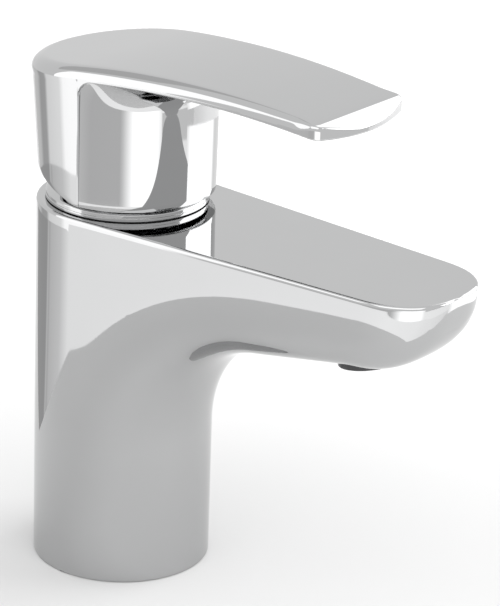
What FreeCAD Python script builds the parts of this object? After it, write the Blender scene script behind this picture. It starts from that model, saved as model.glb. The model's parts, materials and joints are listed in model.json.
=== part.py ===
import FreeCAD, Part
import math
import os
import re

import Sketcher
from FreeCAD import Placement, Rotation, Vector

# Single-lever basin mixer, in millimetres.
# The origin is the centre of the column's foot, +Z is up and +X runs along the spout.

doc = FreeCAD.newDocument("basin_mixer")

SIZES = {
    # body casting
    "column_radius": 23,
    "body_height": 97.5,
    "spout_reach": 103,
    "tip_half_width": 17.8,
    "tip_length": 17,
    "spout_depth": 22.3,
    "underside_rise": 10.2,
    "elbow_radius": 34,
    "bow_length": 23,
    "spout_wall": 3,
    "column_wall": 4.5,
    # base, inlets and fixing stud
    "block_height": 16,
    "ledge_height": 4,
    "ledge_width": 2.2,
    "seal_width": 1.8,
    "seal_height": 1.6,
    "seal_inset": 1,
    "inlet_radius": 4.5,
    "inlet_depth": 12,
    "inlet_spacing": 18,
    "inlet_forward": 3,
    "port_radius": 3.2,
    "stud_radius": 3.4,
    "stud_depth": 12,
    "stud_back": 11,
    # cartridge
    "shoulder_drop": 4.43,
    "cartridge_radius": 17.5,
    "cartridge_gap": 0.2,
    "shell_wall": 1.5,
    "base_height": 5.5,
    "port_seal_width": 1.6,
    "port_seal_height": 1.4,
    "outlet_height": 3,
    "outlet_width": 6,
    "waterway_radius": 4,
    "disc_gap": 0.1,
    "fixed_disc_height": 4,
    "film_gap": 0.02,
    "moving_disc_radius": 12.5,
    "moving_disc_height": 3,
    "recess_depth": 1.6,
    "disc_offset": 2,
    "carrier_length": 16,
    "carrier_width": 17,
    "carrier_height": 6,
    "guide_gap": 0.1,
    "guide_rail": 2,
    "carrier_clearance": 0.3,
    "flange_radius": 14,
    "flange_height": 2.2,
    "running_gap": 0.05,
    "barrel_radius": 11,
    "neck_wall": 2.45,
    "shoulder_height": 2,
    "neck_height": 11,
    # pivot and spindle
    "pivot_rise": 2.5,
    "pivot_arm": 12,
    "pin_radius": 1.5,
    "pin_length": 20,
    "ball_radius": 2.8,
    "ball_gap": 0.15,
    "spindle_neck_radius": 1.9,
    "spindle_width": 8,
    "spindle_drop": 7,
    "spindle_rise": 23.5,
    "lift_angle": 20,
    "slot_gap": 1,
    # turn stop
    "stop_ring_height": 2,
    "stop_ring_gap": 0.3,
    "turn_angle": 50,
    "stop_slack": 1,
    "key_half_angle": 9,
    "key_reach": 1.6,
    # nut and cover
    "washer_thickness": 0.6,
    "nut_radius": 19,
    "nut_gap": 0.1,
    "nut_depth": 11,
    "nut_thread_height": 4,
    "nut_bore_gap": 0.3,
    "hex_radius": 16.5,
    "hex_height": 2.8,
    "cover_radius": 20.8,
    "cover_wall": 1.3,
    "cover_seal_height": 0.6,
    "cover_seal_inset": 0.4,
    "cover_rim": 1.7,
    "cover_rise": 3.6,
    "cover_opening": 14.4,
    # lever
    "lever_gap": 3.7,
    "hub_radius": 22.4,
    "hub_flare": 0.033,
    "hub_lean": 0.04,
    "hub_wall": 2,
    "hub_cavity_rise": 25.8,
    "bevel_angle": 17.2,
    "bevel_start": 1,
    "arch_radius": 281,
    "arch_rise": 37.4,
    "arch_forward": 35,
    "lever_thickness": 3.6,
    "lever_edge_round": 2.2,
    "lever_corner": 71.3,
    "lever_tip": 75.1,
    "lever_tip_half_width": 17.3,
    "lever_corner_round": 2.5,
    "facet_start": 71,
    "facet_angle": 45,
    "neck_radius": 22.2,
    "neck_flare": 0.01,
    "neck_blend": 8,
    "skirt_corner": 4,
    "boss_radius": 8.5,
    "boss_rise": 9.8,
    "socket_gap": 0.05,
    # handle screw
    "screw_radius": 2.5,
    "screw_length": 6,
    "screw_gap": 0.05,
    "key_socket_radius": 1.45,
    "screw_rise": 15.8,
    "plug_radius": 3,
    "plug_gap": 0.1,
    "plug_length": 2.6,
    "plug_recess": 0.3,
    # aerator
    "aerator_reach": 77.5,
    "aerator_radius": 7.75,
    "aerator_gap": 0.1,
    "aerator_wall": 1.2,
    "aerator_drop": 1.2,
    "aerator_lip": 1,
    "aerator_lip_reach": 1,
    "aerator_height": 7,
    "aerator_seal_height": 1.5,
    "aerator_seal_width": 1.4,
    "aerator_boss_wall": 2.9,
    "aerator_boss_roof": 1.5,
    "screen_thickness": 0.5,
    "screen_pitch": 1.7,
    "screen_hole_radius": 0.5,
    "insert_gap": 0.1,
    "insert_ring": 3.8,
    "insert_hole_radius": 1,
    "regulator_height": 2,
}

# Heights that follow from the sizes above: the cartridge hangs from the body's top, and the lever stands on it
LEVELS = {
    "seat_height": "body_height - shoulder_drop - shoulder_height - running_gap - flange_height"
                   " - carrier_clearance - carrier_height - moving_disc_height - film_gap"
                   " - fixed_disc_height - base_height",
    "pivot_height": "body_height + pivot_rise",
    "boss_bottom": "body_height + lever_gap + boss_rise",
    "screw_height": "body_height + lever_gap + screw_rise",
    "hub_cavity_top": "body_height + lever_gap + hub_cavity_rise",
    "arch_top": "body_height + lever_gap + arch_rise",
}

sheet = doc.addObject("Spreadsheet::Sheet", "sizes")
cells = {name: str(number) for name, number in SIZES.items()}
cells.update({name: "=" + text for name, text in LEVELS.items()})
for row, (name, content) in enumerate(cells.items(), start=1):
    sheet.set("A%d" % row, name)
    sheet.setAlias("B%d" % row, name)
    sheet.set("B%d" % row, content)
doc.recompute()


def bound(text):
    """Expression with each size name pointed at its cell in the sheet."""
    return re.sub(r"[a-z_]+", lambda word: ("sizes." if word.group() in cells else "") + word.group(), text)


def value(text):
    """Number that such an expression has now."""
    return float(sheet.evalExpression(bound(text)))


# Heights that several pieces share
BLOCK_LEVEL = "(seat_height - block_height)"
DISC_LEVEL = "(seat_height + base_height)"
SLIDE_LEVEL = "(seat_height + base_height + fixed_disc_height + film_gap)"
CARRIER_LEVEL = "(seat_height + base_height + fixed_disc_height + film_gap + moving_disc_height)"
FLANGE_LEVEL = "(%s + carrier_height + carrier_clearance)" % CARRIER_LEVEL[1:-1]
STEP_LEVEL = "(%s + flange_height + running_gap)" % FLANGE_LEVEL[1:-1]
SHOULDER_LEVEL = "(%s + shoulder_height)" % STEP_LEVEL[1:-1]
NECK_TOP = "(%s + neck_height)" % SHOULDER_LEVEL[1:-1]
NUT_LEVEL = "(%s + washer_thickness)" % SHOULDER_LEVEL[1:-1]
HUB_BOTTOM = "(body_height + lever_gap)"
CHAMBER_RADIUS = "(cartridge_radius + cartridge_gap)"
SHELL_BORE = "(cartridge_radius - shell_wall)"
NECK_BORE = "(barrel_radius + running_gap)"
NECK_RADIUS = "(barrel_radius + running_gap + neck_wall)"


def place(piece, position, turn=None):
    """Tie a piece's position to the sheet, and turn it about an axis if asked."""
    for axis, text in zip("xyz", position):
        piece.setExpression("Placement.Base." + axis, bound(text))
    if turn:
        direction, angle = turn
        piece.Placement = Placement(piece.Placement.Base, Rotation(direction, 0))
        piece.setExpression("Placement.Rotation.Angle", bound(angle))
    return piece


def cylinder(name, radius, height, position=("0", "0", "0"), turn=None):
    piece = doc.addObject("Part::Cylinder", name)
    piece.setExpression("Radius", bound(radius))
    piece.setExpression("Height", bound(height))
    return place(piece, position, turn)


def box(name, length, width, height, position):
    """Block centred on Y, with its near corner at the given position."""
    piece = doc.addObject("Part::Box", name)
    piece.setExpression("Length", bound(length))
    piece.setExpression("Width", bound(width))
    piece.setExpression("Height", bound(height))
    x, y, z = position
    return place(piece, (x, "%s - (%s) / 2" % (y, width), z))


def sector(name, radius, height, half_angle, level):
    """Wedge of a round bar, centred on +X."""
    piece = cylinder(name, radius, height, ("0", "0", level), (Vector(0, 0, -1), half_angle))
    piece.setExpression("Angle", bound("2 * (%s)" % half_angle))
    return piece


def joined(name, pieces):
    fused = doc.addObject("Part::MultiFuse", name)
    fused.Shapes = pieces
    fused.Refine = True
    return fused


def cut(label, base, tools):
    result = doc.addObject("Part::Cut", label)
    result.Base = base
    result.Tool = tools[0] if len(tools) == 1 else joined(label + "_tools", tools)
    result.Refine = True
    result.Label = label
    return result


def grouped(label, pieces):
    group = doc.addObject("Part::Compound", label)
    group.Links = pieces
    group.Label = label
    return group


def formed(label, shape):
    feature = doc.addObject("Part::Feature", label)
    feature.Shape = shape
    feature.Placement = Placement()
    feature.Label = label
    return feature


def turned(label, outline, level="0", position=None, turn=None):
    """Body turned about Z from an outline of (radius, height) expressions."""
    body = doc.addObject("PartDesign::Body", label)
    body.Label = label
    sketch = body.newObject("Sketcher::SketchObject", label + "_outline")
    plane = next(item for item in body.Origin.OriginFeatures if item.Role == "XZ_Plane")
    sketch.AttachmentSupport = [(plane, "")]
    sketch.MapMode = "FlatFace"
    corners = [Vector(value(radius), value(height), 0) for radius, height in outline]
    count = len(corners)
    for index in range(count):
        sketch.addGeometry(Part.LineSegment(corners[index], corners[(index + 1) % count]), False)
    for index in range(count):
        sketch.addConstraint(Sketcher.Constraint("Coincident", index, 2, (index + 1) % count, 1))
    for index, (radius, height) in enumerate(outline):
        for kind, axis, text in (("DistanceX", -2, radius), ("DistanceY", -1, height)):
            if text == "0":
                sketch.addConstraint(Sketcher.Constraint("PointOnObject", index, 1, axis))
            else:
                number = sketch.addConstraint(Sketcher.Constraint(kind, -1, 1, index, 1, value(text)))
                sketch.setExpression("Constraints[%d]" % number, bound(text))
    spin = body.newObject("PartDesign::Revolution", label + "_turning")
    spin.Profile = sketch
    spin.ReferenceAxis = (sketch, ["V_Axis"])
    spin.Angle = 360
    return place(body, position or ("0", "0", level), turn)


# Body casting: column, elbow and spout with a flat top

def half_width(x):
    """Half width of the flat top, from the column to the rounded tip."""
    radius, tip = value("column_radius"), value("tip_half_width")
    start = value("spout_reach - tip_length")
    straight = radius - (radius - tip) * min(max(x, 0), start) / start
    share = min(max(x - start, 0) / value("tip_length"), 1)
    return straight * (1 - share ** TIP_FULLNESS) ** (1 / TIP_FULLNESS)


def underside(x):
    """Height of the spout's underside on its middle line, before the bow."""
    slope = math.tan(math.radians(value("underside_rise")))
    return value("body_height - spout_depth") + slope * (x - value("aerator_reach"))


def depth(x):
    """Depth of the spout below its flat top, drawn up to nothing at the tip."""
    start = value("spout_reach - bow_length")
    share = min(max(x - start, 0) / value("bow_length"), 1)
    return (value("body_height") - underside(min(x, start))) * math.sqrt(1 - share ** 2)


TIP_FULLNESS = 2.3
SPOUT_FULLNESS = 3
ELBOW_TURNS = (0, 10, 20, 30, 40, 50, 60, 70, 80, 90)
CAVITY_TURNS = (60, 70, 80, 90)
BOW_TURNS = (20, 35, 50, 62, 73, 82, 86.5)
CAVITY_BOW_TURNS = (20, 35, 50)
SPOUT_STEPS = (0.4, 0.75, 1)
WALL_SHARE = 0.1
OUTLINE_POINTS = 16
OVERSHOOT = 60
COLUMN_SHARES = (-0.4, -0.2, 0, 0.2, 0.4, 0.6, 0.8)


def elbow_pivot():
    """Centre of the hollow curve under the elbow."""
    x = value("column_radius + elbow_radius")
    drop = value("elbow_radius") / math.cos(math.radians(value("underside_rise")))
    return Vector(x, 0, underside(x) - drop)


def elbow_section(turn):
    """Section that fans about the elbow's centre, from the column to the spout."""
    pivot = elbow_pivot()
    height = value("body_height") - pivot.z
    angle = math.radians(turn)
    outward = Vector(-math.cos(angle), 0, math.sin(angle))
    blend = math.sin(angle) ** 2
    past = max(turn - 90 + value("underside_rise"), 0)
    inner = value("elbow_radius") / math.cos(math.radians(past))
    wall = WALL_SHARE * depth(pivot.x)
    outer = pivot.x + (height - wall - pivot.x) * blend
    top_x = pivot.x - height / math.tan(angle) if turn else 0
    fullness = 2 + (SPOUT_FULLNESS - 2) * blend
    return pivot + outward * outer, -outward, half_width(top_x), outer - inner, fullness


def spout_section(x):
    wall = WALL_SHARE * depth(x)
    base = Vector(x, 0, value("body_height") - wall)
    return base, Vector(0, 0, -1), half_width(x), depth(x) - wall, SPOUT_FULLNESS


def hull_sections(elbow_turns, bow_turns):
    """Sections along the spout: through the elbow, along the spout and into the bow."""
    start, length = value("spout_reach - bow_length"), value("bow_length")
    pivot_x = elbow_pivot().x
    places = [pivot_x + (start - pivot_x) * step for step in SPOUT_STEPS]
    places += [start + length * math.sin(math.radians(turn)) for turn in bow_turns]
    return [elbow_section(turn) for turn in elbow_turns] + [spout_section(x) for x in places]


def hull_wire(section, overshoot):
    """Closed outline: a rounded hull below, straight walls carried on above it."""
    base, inward, half, deep, fullness = section
    across = Vector(0, 1, 0)
    points = []
    for index in range(OUTLINE_POINTS + 1):
        angle = math.pi * index / OUTLINE_POINTS
        side, down = math.cos(angle), math.sin(angle)
        reach = (abs(side / half) ** fullness + abs(down / deep) ** fullness) ** (-1 / fullness)
        points.append(base + across * (side * reach) + inward * (down * reach))
    hull = Part.BSplineCurve()
    hull.interpolate(Points=points, InitialTangent=inward, FinalTangent=-inward)
    far_end, near_end = points[-1], points[0]
    if not overshoot:
        return Part.Wire([hull.toShape(), Part.makeLine(far_end, near_end)])
    rise = -inward * overshoot
    walls = [Part.makeLine(far_end, far_end + rise), Part.makeLine(far_end + rise, near_end + rise),
             Part.makeLine(near_end + rise, near_end)]
    return Part.Wire([hull.toShape()] + walls)


def inset(section, wall):
    base, inward, half, deep, fullness = section
    return base + inward * wall, inward, half - wall, deep - 2 * wall, fullness


def body_form():
    """Outside of the casting: half a round column behind, column and hull in one skin in front."""
    radius, height = value("column_radius"), value("body_height")
    levels = [elbow_pivot().z * share for share in COLUMN_SHARES]
    column = [(Vector(0, 0, level), Vector(1, 0, 0), radius, radius, 2) for level in levels]
    sections = column + hull_sections(ELBOW_TURNS, BOW_TURNS)
    hull = Part.makeLoft([hull_wire(section, OVERSHOOT) for section in sections], True, False)
    front = Part.makeBox(2 * value("spout_reach"), 4 * radius, height, Vector(0, -2 * radius, 0))
    back = Part.makeCylinder(radius, height, Vector(), Vector(0, 0, 1), 180)
    back.Placement = Placement(Vector(), Rotation(Vector(0, 0, 1), 90))
    return back.fuse(hull.common(front)).removeSplitter()


def spout_cavity():
    """Water space inside the spout, clear of the cartridge chamber and the aerator boss."""
    wall = value("spout_wall")
    sections = [inset(section, wall) for section in hull_sections(CAVITY_TURNS, CAVITY_BOW_TURNS)]
    cavity = Part.makeLoft([hull_wire(section, 0) for section in sections], True, False)
    chamber = Part.makeCylinder(value(CHAMBER_RADIUS) + wall, value("body_height"))
    boss_radius = value("aerator_radius + aerator_gap + aerator_boss_wall")
    boss = Part.makeCylinder(boss_radius, value(AERATOR_BOSS) + wall, Vector(0, 0, -wall))
    boss.Placement = aerator_placement()
    return cavity.cut([chamber, boss])


AERATOR_BOSS = "(aerator_height + aerator_seal_height + aerator_boss_roof)"


def aerator_placement():
    """Frame of the outlet: on the underside, its Z axis into the spout."""
    x = value("aerator_reach")
    tilt = Rotation(Vector(0, 1, 0), -value("underside_rise"))
    return Placement(Vector(x, 0, underside(x)), tilt)


AERATOR_PLACE = ("aerator_reach", "0", "body_height - spout_depth")
AERATOR_TURN = (Vector(0, -1, 0), "underside_rise")


def aerator_shift(height):
    """Position on the outlet's axis at a height above the underside."""
    return ("aerator_reach - (%s) * sin(underside_rise * 1 deg)" % height, "0",
            "body_height - spout_depth + (%s) * cos(underside_rise * 1 deg)" % height)


def inlet_position(side, level):
    return ("inlet_forward", "%s inlet_spacing / 2" % side, level)


def base_groove():
    outer = cylinder("groove_outer", "column_radius - seal_inset", "seal_height")
    inner = cylinder("groove_inner", "column_radius - seal_inset - seal_width", "seal_height")
    return cut("base_groove", outer, [inner])


def make_body():
    tools = [
        formed("spout_cavity", spout_cavity()),
        base_groove(),
        cylinder("foot_hollow", "column_radius - column_wall", BLOCK_LEVEL + "- ledge_height"),
        cylinder("ledge_opening", CHAMBER_RADIUS + "- ledge_width", BLOCK_LEVEL),
        cylinder("chamber", CHAMBER_RADIUS, "body_height - " + BLOCK_LEVEL, ("0", "0", BLOCK_LEVEL)),
        cylinder("nut_bore", "nut_radius + nut_gap", "nut_depth", ("0", "0", "body_height - nut_depth")),
        cylinder("waterway", "waterway_radius", "column_radius + elbow_radius / 2",
                 ("0", "0", "seat_height + base_height"), (Vector(0, 1, 0), "90")),
        cylinder("aerator_bore", "aerator_radius + aerator_gap",
                 "aerator_height + aerator_seal_height + spout_wall",
                 aerator_shift("-spout_wall"), AERATOR_TURN),
        cylinder("aerator_throat", "aerator_radius - aerator_seal_width", AERATOR_BOSS + "+ spout_wall",
                 aerator_shift("0"), AERATOR_TURN),
    ]
    cut("body_casting", formed("body_form", body_form()), tools)
    turned("base_seal", [
        ("column_radius - seal_inset - seal_width", "0"),
        ("column_radius - seal_inset", "0"),
        ("column_radius - seal_inset", "seal_height"),
        ("column_radius - seal_inset - seal_width", "seal_height"),
    ])


def make_inlet_block():
    """Block under the cartridge: two threaded inlets with ports above them, and the stud's thread."""
    tools = [cylinder("stud_hole", "stud_radius", "stud_depth", ("-stud_back", "0", BLOCK_LEVEL))]
    tools += port_bores("inlet", "inlet_radius", BLOCK_LEVEL, "inlet_depth")
    tools += port_bores("block_port", "port_radius", BLOCK_LEVEL, "block_height")
    blank = cylinder("block_blank", "cartridge_radius", "block_height", ("0", "0", BLOCK_LEVEL))
    cut("inlet_block", blank, tools)


# Cartridge: base, seals, ceramic discs, housing and turning parts

SEAL_RADIUS = "(port_radius + port_seal_width)"


def port_rings(name, level, height):
    """Two round seals, one over each inlet port."""
    rings = []
    for label, side in (("hot", ""), ("cold", "-")):
        ring = "%s_%s" % (label, name)
        outer = cylinder(ring + "_outer", SEAL_RADIUS, height, inlet_position(side, level))
        inner = cylinder(ring + "_inner", "port_radius", height, inlet_position(side, level))
        rings.append(cut(ring, outer, [inner]))
    return rings


def port_bores(name, radius, level, height):
    return [cylinder("%s_%s" % (label, name), radius, height, inlet_position(side, level))
            for label, side in (("hot", ""), ("cold", "-"))]


OUTLET_BACK = "(inlet_spacing / 3)"


def make_base():
    """Cartridge base: ports through it, seal pockets on both faces and a side outlet."""
    tools = port_bores("base_port", "port_radius", "seat_height", "base_height")
    tools += port_bores("lower_pocket", SEAL_RADIUS, "seat_height", "port_seal_height")
    upper = DISC_LEVEL + "- port_seal_height"
    tools += port_bores("upper_pocket", SEAL_RADIUS, upper, "port_seal_height")
    outlet_floor = DISC_LEVEL + "- outlet_height"
    outlet_place = ("-" + OUTLET_BACK, "0", outlet_floor)
    tools.append(cylinder("base_outlet", "port_radius", "outlet_height", outlet_place))
    outlet_run = "cartridge_radius + " + OUTLET_BACK
    tools.append(box("side_outlet", outlet_run, "outlet_width", "outlet_height", outlet_place))
    blank = cylinder("base_blank", "cartridge_radius", "base_height", ("0", "0", "seat_height"))
    cut("cartridge_base", blank, tools)
    grouped("port_seals", port_rings("lower_seal", "seat_height", "port_seal_height"))
    grouped("disc_seals", port_rings("upper_seal", upper, "port_seal_height"))


def make_discs():
    tools = port_bores("disc_port", "port_radius", DISC_LEVEL, "fixed_disc_height")
    tools.append(cylinder("disc_outlet", "port_radius", "fixed_disc_height",
                          ("-" + OUTLET_BACK, "0", DISC_LEVEL)))
    blank = cylinder("fixed_disc_blank", SHELL_BORE + "- disc_gap", "fixed_disc_height",
                     ("0", "0", DISC_LEVEL))
    cut("fixed_disc", blank, tools)
    blank = cylinder("moving_disc_blank", "moving_disc_radius", "moving_disc_height",
                     ("-disc_offset", "0", SLIDE_LEVEL))
    recess = cylinder("mixing_recess", "moving_disc_radius - port_radius", "recess_depth",
                      ("-disc_offset", "0", SLIDE_LEVEL))
    cut("moving_disc", blank, [recess])


def make_carrier():
    """Slider on the moving disc, with the pocket for the spindle's ball."""
    blank = box("carrier_blank", "carrier_length", "carrier_width", "carrier_height",
                ("-disc_offset - carrier_length / 2", "0", CARRIER_LEVEL))
    pocket_floor = "pivot_height - pivot_arm - ball_radius - 2 * ball_gap"
    pocket = cylinder("ball_pocket", "ball_radius + ball_gap", "carrier_height", ("0", "0", pocket_floor))
    cut("disc_carrier", blank, [pocket])


def make_housing():
    turned("cartridge_housing", [
        (SHELL_BORE, "0"),
        ("cartridge_radius", "0"),
        ("cartridge_radius", SHOULDER_LEVEL + "-" + DISC_LEVEL),
        (NECK_RADIUS, SHOULDER_LEVEL + "-" + DISC_LEVEL),
        (NECK_RADIUS, NECK_TOP + "-" + DISC_LEVEL),
        (NECK_BORE, NECK_TOP + "-" + DISC_LEVEL),
        (NECK_BORE, STEP_LEVEL + "-" + DISC_LEVEL),
        (SHELL_BORE, STEP_LEVEL + "-" + DISC_LEVEL),
    ], DISC_LEVEL)


SLOT_LENGTH = ("(spindle_width * cos(lift_angle * 1 deg) + 2 * spindle_drop * sin(lift_angle * 1 deg)"
               " + 2 * slot_gap)")


def make_spindle_carrier():
    """Turning part: flange with guide rails, barrel, stop key, and a slot for the spindle."""
    rail_inset = "carrier_width / 2 + guide_gap"
    rail_height = "carrier_height / 2 + carrier_clearance"
    rail_floor = FLANGE_LEVEL + "- carrier_height / 2 - carrier_clearance"
    top = NECK_TOP + "- %s + stop_ring_gap" % FLANGE_LEVEL
    rails = [box(side + "_rail", "carrier_length", "guide_rail", rail_height,
                 ("-carrier_length / 2", "%s(%s + guide_rail / 2)" % (sign, rail_inset), rail_floor))
             for side, sign in (("left", ""), ("right", "-"))]
    key = sector("stop_key", "barrel_radius + key_reach", "stop_ring_height - 2 * stop_ring_gap",
                 "key_half_angle", NECK_TOP + "+ stop_ring_gap")
    solid = joined("spindle_carrier_solid", rails + [
        cylinder("carrier_flange", "flange_radius", "flange_height", ("0", "0", FLANGE_LEVEL)),
        cylinder("carrier_barrel", "barrel_radius", top, ("0", "0", FLANGE_LEVEL)),
        key,
    ])
    slot = box("spindle_slot", SLOT_LENGTH, "spindle_width + 2 * guide_gap", "2 * pivot_arm + spindle_rise",
               ("-%s / 2" % SLOT_LENGTH, "0", "pivot_height - 2 * pivot_arm"))
    cut("spindle_carrier", solid, [slot, pin_bar("carrier_pin_hole", "pin_radius")])


def pin_bar(name, radius):
    """Bar along the tilt axis."""
    start = ("0", "pin_length / 2", "pivot_height")
    return cylinder(name, radius, "pin_length", start, (Vector(1, 0, 0), "90"))


def make_spindle():
    pin_bar("pivot_pin", "pin_radius")
    ball = doc.addObject("Part::Sphere", "spindle_ball")
    ball.setExpression("Radius", bound("ball_radius"))
    place(ball, ("0", "0", "pivot_height - pivot_arm"))
    neck = cylinder("spindle_neck", "spindle_neck_radius", "pivot_arm - spindle_drop / 2",
                    ("0", "0", "pivot_height - pivot_arm"))
    bar = box("spindle_bar", "spindle_width", "spindle_width", "spindle_drop + spindle_rise",
              ("-spindle_width / 2", "0", "pivot_height - spindle_drop"))
    solid = joined("spindle_solid", [ball, neck, bar])
    cut("spindle", solid, [pin_bar("spindle_pin_hole", "pin_radius + running_gap")])


def make_stop_ring():
    """Ring on the housing's neck; its window lets the key turn either way."""
    outer = cylinder("stop_outer", NECK_RADIUS, "stop_ring_height", ("0", "0", NECK_TOP))
    inner = cylinder("stop_inner", "barrel_radius + stop_ring_gap", "stop_ring_height",
                     ("0", "0", NECK_TOP))
    window = sector("stop_window", "barrel_radius + key_reach + stop_ring_gap", "stop_ring_height",
                    "turn_angle + key_half_angle + stop_slack", NECK_TOP)
    cut("stop_ring", outer, [inner, window])


def make_nut():
    bore = NECK_RADIUS + "+ nut_bore_gap"
    turned("slip_washer", [
        (bore, "0"),
        ("cartridge_radius", "0"),
        ("cartridge_radius", "washer_thickness"),
        (bore, "washer_thickness"),
    ], SHOULDER_LEVEL)
    thread = cylinder("nut_thread", "nut_radius", "nut_thread_height", ("0", "0", NUT_LEVEL))
    hexagon = doc.addObject("Part::Prism", "nut_hexagon")
    hexagon.Polygon = 6
    hexagon.setExpression("Circumradius", bound("hex_radius"))
    hexagon.setExpression("Height", bound("hex_height"))
    place(hexagon, ("0", "0", NUT_LEVEL + "+ nut_thread_height"))
    hole = cylinder("nut_hole", bore, "nut_thread_height + hex_height", ("0", "0", NUT_LEVEL))
    cut("retaining_nut", joined("nut_solid", [thread, hexagon]), [hole])


def make_cover():
    """Seal on the flat top, and the domed ring over the nut."""
    turned("cover_seal", [
        ("cover_radius - cover_seal_inset - cover_wall", "0"),
        ("cover_radius - cover_seal_inset", "0"),
        ("cover_radius - cover_seal_inset", "cover_seal_height"),
        ("cover_radius - cover_seal_inset - cover_wall", "cover_seal_height"),
    ], "body_height")
    turned("cover_ring", [
        ("cover_radius - cover_wall", "0"),
        ("cover_radius", "0"),
        ("cover_radius", "cover_rim"),
        ("cover_opening", "cover_rim + cover_rise"),
        ("cover_opening", "cover_rim + cover_rise - cover_wall"),
        ("cover_radius - cover_wall", "cover_rim - cover_wall / 2"),
    ], "body_height + cover_seal_height")


# Lever: hub and flat handle in one casting

# how far a cutting tool reaches past the face that it cuts
MARGIN = 1
# how far in front of the bevel the skirt around the hub ends
SIDE_LEAD = 2
# how far inside the neck the hollow curve under the handle starts
NECK_INSET = 0.2


def lever_outline(level):
    """Outline of hub and handle at a height: round behind, straight sides, curved tip."""
    rise = level - value(HUB_BOTTOM)
    radius = value("hub_radius") + value("hub_flare") * rise
    centre = -value("hub_lean") * rise
    corner = Vector(value("lever_corner"), value("lever_tip_half_width"), level)
    # the sides touch the round back, so they start where the tangent from the corner meets it
    span = math.hypot(corner.x - centre, corner.y)
    angle = math.atan2(corner.y, corner.x - centre) + math.acos(radius / span)
    touch = Vector(centre + radius * math.cos(angle), radius * math.sin(angle), level)
    mirrored = [Vector(point.x, -point.y, level) for point in (corner, touch)]
    back = Vector(centre - radius, 0, level)
    tip = Vector(value("lever_tip"), 0, level)
    return Part.Wire([
        Part.makeLine(corner, touch),
        Part.Arc(touch, back, mirrored[1]).toShape(),
        Part.makeLine(mirrored[1], mirrored[0]),
        Part.Arc(mirrored[0], tip, corner).toShape(),
    ])


def neck_ring(level):
    rise = level - value(HUB_BOTTOM)
    return Part.Wire([Part.makeCircle(value("neck_radius") + value("neck_flare") * rise, Vector(0, 0, level))])


def arch_height(x):
    """Height of the handle's top: a round arch in front, straight behind the column's axis."""
    radius, forward = value("arch_radius"), value("arch_forward")
    centre = value("arch_top") - radius
    bend = max(x, 0) - forward
    height = centre + math.sqrt(radius ** 2 - bend ** 2)
    slope = forward / math.sqrt(radius ** 2 - forward ** 2)
    return height + slope * min(x, 0)


def arch(drop):
    """Everything under the handle's top, lowered by a drop."""
    reach = 2 * value("lever_tip")
    floor = value("body_height")
    places = (-reach, 0, value("arch_forward"), reach)
    back, start, middle, end = [Vector(x, -reach, arch_height(x) - drop) for x in places]
    ends = [Vector(end.x, -reach, floor), Vector(back.x, -reach, floor)]
    outline = [Part.makeLine(back, start), Part.Arc(start, middle, end).toShape()]
    outline += Part.makePolygon([end] + ends + [back]).Edges
    return Part.Face(Part.Wire(outline)).extrude(Vector(0, 2 * reach, 0))


def slab(points, half):
    """Prism across the handle from an outline in the XZ plane."""
    corners = [Vector(x, -half, z) for x, z in points]
    return Part.Face(Part.makePolygon(corners + corners[:1])).extrude(Vector(0, 2 * half, 0))


def on_arch(edge):
    """Edge of the handle's outline on its top, not the seam across it."""
    points = edge.discretize(5)
    high = all(abs(point.z - arch_height(point.x)) < 0.01 for point in points)
    return high and not all(abs(point.x) < 0.01 for point in points)


def handle_blank():
    """Outline under the arch, with the tip's corners and the upper edge rounded."""
    bottom = value(HUB_BOTTOM)
    over = value("arch_top + lever_thickness")
    blank = Part.makeLoft([lever_outline(bottom), lever_outline(over)], True, True)
    corner = value("lever_corner")
    upright = [edge for edge in blank.Edges
               if all(abs(v.X - corner) < 0.001 for v in edge.Vertexes) and len(edge.Vertexes) == 2
               and abs(edge.Vertexes[0].Z - edge.Vertexes[1].Z) > 1]
    blank = blank.makeFillet(value("lever_corner_round"), upright)
    blank = blank.common(arch(0))
    rim = [edge for edge in blank.Edges if on_arch(edge)]
    blank = blank.makeFillet(value("lever_edge_round"), rim)
    # slanted flat that ends the tip
    start, reach = value("facet_start"), value("lever_tip")
    height = arch_height(start)
    fall = math.tan(math.radians(value("facet_angle"))) * reach
    return blank.cut(slab([(start - reach, height + fall), (start + reach, height - fall),
                           (start + reach, height + fall)], reach))


def neck_flare(top):
    """Round neck that opens out under the handle in a hollow curve."""
    blend = value("neck_blend")
    rise = top - blend - value(HUB_BOTTOM)
    radius = value("neck_radius") + value("neck_flare") * rise - NECK_INSET
    low, high = top - blend, top
    middle = Vector(radius + blend * (1 - math.sqrt(0.5)), 0, high - blend * (1 - math.sqrt(0.5)))
    curve = Part.Arc(Vector(radius, 0, low), middle, Vector(radius + blend, 0, high)).toShape()
    lines = Part.makePolygon([Vector(radius + blend, 0, high), Vector(0, 0, high), Vector(0, 0, low),
                              Vector(radius, 0, low)]).Edges
    return Part.Face(Part.Wire([curve] + lines)).revolve(Vector(), Vector(0, 0, 1), 360)


def under_space():
    """Air under the handle, in front of the skirt and around the neck."""
    bottom, reach = value(HUB_BOTTOM), value("lever_tip")
    start = value("bevel_start") + SIDE_LEAD
    room = Part.makeBox(2 * reach, 2 * reach, bottom, Vector(start, -reach, bottom - MARGIN))
    room = room.common(arch(value("lever_thickness")))
    corner = [edge for edge in room.Edges
              if all(abs(v.X - start) < 0.001 and v.Z > bottom + MARGIN for v in edge.Vertexes)]
    room = room.makeFillet(value("skirt_corner"), corner)
    neck = Part.makeLoft([neck_ring(value("body_height")), neck_ring(value("arch_top"))], True, True)
    top = value("arch_top - lever_thickness")
    return room.cut([neck, neck_flare(top)])


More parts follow.
